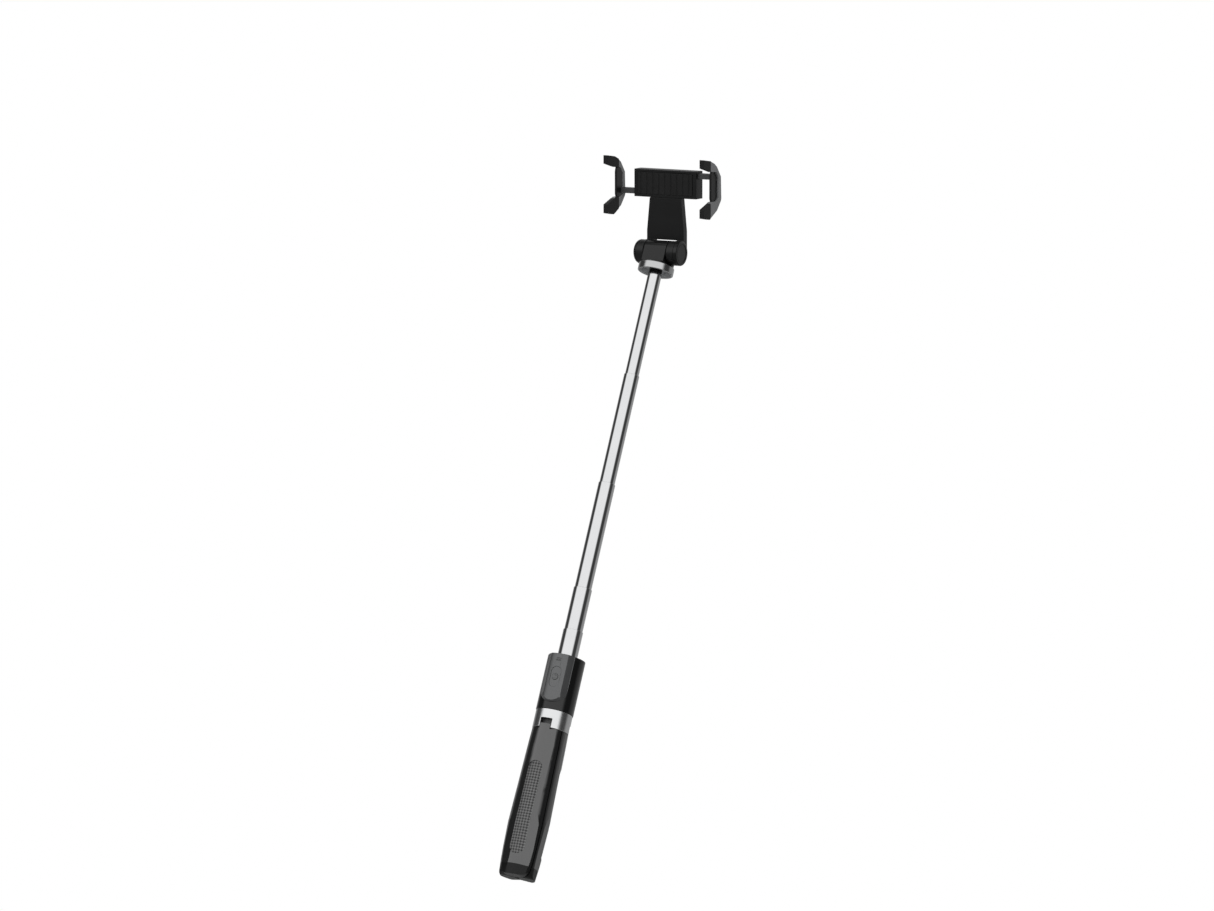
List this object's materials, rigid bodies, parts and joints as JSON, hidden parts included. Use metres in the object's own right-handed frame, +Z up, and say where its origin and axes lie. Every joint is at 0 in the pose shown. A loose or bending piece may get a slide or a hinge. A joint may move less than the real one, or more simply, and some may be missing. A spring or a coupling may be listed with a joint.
{
  "type": "selfie stick",
  "caption": "Telescopic selfie stick: sprung phone clamp on a tilting, turning head, sliding tubes, pull-off remote, and a grip that opens into tripod legs.",
  "frame": {"origin": "on the stick's axis, in the middle of the grip, 55 mm above the feet", "axes": "+Z up the stick to the clamp, -Y the way the clamp faces, +X across the clamp's jaws"},
  "size_m": [0.0776, 0.05, 0.4948],
  "materials": {
    "tube_chrome": "polished",
    "bush_nylon": "matt",
    "collar_metal": "satin",
    "pin_steel": "turned",
    "housing_black": "semi gloss",
    "plate_grey": "satin",
    "board_green": "lacquered",
    "cell_steel": "brushed",
    "light_window": "frosted",
    "leg_gloss": "gloss",
    "grip_weave": "fine weave",
    "foot_rubber": "matt",
    "head_black": "satin",
    "washer_nylon": "smooth",
    "cup_metal": "satin",
    "jaw_satin": "satin",
    "rack_nylon": "satin"
  },
  "bodies": {
    "handle": {"core_tube": "tube_chrome", "core_plug": "bush_nylon", "leg_hub": "bush_nylon", "leg_collar": "collar_metal", "leg_pins": "pin_steel", "housing_shell": "housing_black", "housing_cap": "housing_black"},
    "remote": {"remote_back": "housing_black", "remote_faceplate": "plate_grey", "remote_board": "board_green", "remote_cell": "cell_steel", "remote_light": "light_window"},
    "shutter": {"shutter_button": "plate_grey"},
    "leg_front": {"leg_front": "leg_gloss", "leg_front_insert": "grip_weave", "leg_front_foot": "foot_rubber"},
    "leg_right": {"leg_right": "leg_gloss", "leg_right_insert": "grip_weave", "leg_right_foot": "foot_rubber"},
    "leg_left": {"leg_left": "leg_gloss", "leg_left_insert": "grip_weave", "leg_left_foot": "foot_rubber"},
    "tube_1": {"tube_1": "tube_chrome", "tube_1_bush": "bush_nylon"},
    "tube_2": {"tube_2": "tube_chrome", "tube_2_bush": "bush_nylon"},
    "tube_3": {"tube_3": "tube_chrome", "tube_3_bush": "bush_nylon"},
    "tube_4": {"tube_4": "tube_chrome", "tube_4_bush": "bush_nylon"},
    "tube_5": {"tube_5": "tube_chrome", "tube_5_bush": "bush_nylon", "top_ferrule": "head_black", "swivel_screw": "pin_steel", "swivel_washer": "pin_steel"},
    "swivel": {"swivel_cup": "cup_metal", "hinge_block": "head_black"},
    "clamp": {"hinge_pin": "pin_steel", "hinge_washers": "washer_nylon", "hinge_cap_left": "head_black", "hinge_cap_right": "head_black", "clamp_base": "head_black", "clamp_cover": "head_black", "clamp_pad": "foot_rubber", "clamp_screws": "pin_steel", "pinion_spring": "pin_steel"},
    "pinion": {"sync_pinion": "washer_nylon"},
    "jaw_right": {"jaw_right": "jaw_satin", "jaw_right_grips": "foot_rubber", "jaw_right_panel": "head_black", "jaw_right_rack": "rack_nylon"},
    "jaw_left": {"jaw_left": "jaw_satin", "jaw_left_grips": "foot_rubber", "jaw_left_panel": "head_black", "jaw_left_rack": "rack_nylon"}
  },
  "joints": [
    {"name": "remote_pull_off", "type": "slide", "parent": "handle", "child": "remote", "axis": [0, 0, 1], "range_m": [0, 0.04]},
    {"name": "shutter_press", "type": "slide", "parent": "remote", "child": "shutter", "axis": [-0.1564, 0.9877, 0], "range_m": [0, 0.0005], "stiffness_N_per_m": 2000},
    {"name": "leg_front_swing", "type": "hinge", "parent": "handle", "child": "leg_front", "pos_m": [0.0016, -0.01007, 0.0463], "axis": [-0.9877, -0.1564, 0], "range_deg": [0, 28]},
    {"name": "leg_right_swing", "type": "hinge", "parent": "handle", "child": "leg_right", "pos_m": [0.00793, 0.00642, 0.0463], "axis": [0.6293, -0.7771, 0], "range_deg": [0, 28]},
    {"name": "leg_left_swing", "type": "hinge", "parent": "handle", "child": "leg_left", "pos_m": [-0.00952, 0.00366, 0.0463], "axis": [0.3584, 0.9336, 0], "range_deg": [0, 28]},
    {"name": "tube_1_slide", "type": "slide", "parent": "handle", "child": "tube_1", "axis": [0, 0, 1], "range_m": [-0.0187, 0.0577]},
    {"name": "tube_2_slide", "type": "slide", "parent": "tube_1", "child": "tube_2", "axis": [0, 0, 1], "range_m": [-0.0288, 0.0476]},
    {"name": "tube_3_slide", "type": "slide", "parent": "tube_2", "child": "tube_3", "axis": [0, 0, 1], "range_m": [-0.0729, 0.0035]},
    {"name": "tube_4_slide", "type": "slide", "parent": "tube_3", "child": "tube_4", "axis": [0, 0, 1], "range_m": [-0.0761, 0.0003]},
    {"name": "tube_5_slide", "type": "slide", "parent": "tube_4", "child": "tube_5", "axis": [0, 0, 1], "range_m": [-0.0753, 0.0049]},
    {"name": "head_swivel", "type": "hinge", "parent": "tube_5", "child": "swivel", "pos_m": [0, 0, 0.3732], "axis": [0, 0, 1], "continuous": true},
    {"name": "clamp_tilt", "type": "hinge", "parent": "swivel", "child": "clamp", "pos_m": [0, 0, 0.3819], "axis": [1, 0, 0], "range_deg": [-55.6, 124.4]},
    {"name": "jaw_right_slide", "type": "slide", "parent": "clamp", "child": "jaw_right", "axis": [1, 0, 0], "range_m": [-0.00795, 0.0075], "stiffness_N_per_m": 400, "springref_m": -0.012},
    {"name": "jaw_left_slide", "type": "slide", "parent": "clamp", "child": "jaw_left", "axis": [-1, 0, 0], "range_m": [-0.00795, 0.0075]},
    {"name": "pinion_turn", "type": "hinge", "parent": "clamp", "child": "pinion", "pos_m": [0, -0.0098, 0.42782], "axis": [0, 0.9018, 0.4321], "range_deg": [-95, 90]}
  ],
  "couplings": [
    {"joint": "jaw_left_slide", "follows": "jaw_right_slide", "ratio": 1},
    {"joint": "pinion_turn", "follows": "jaw_right_slide", "rad_per_m": 200}
  ]
}
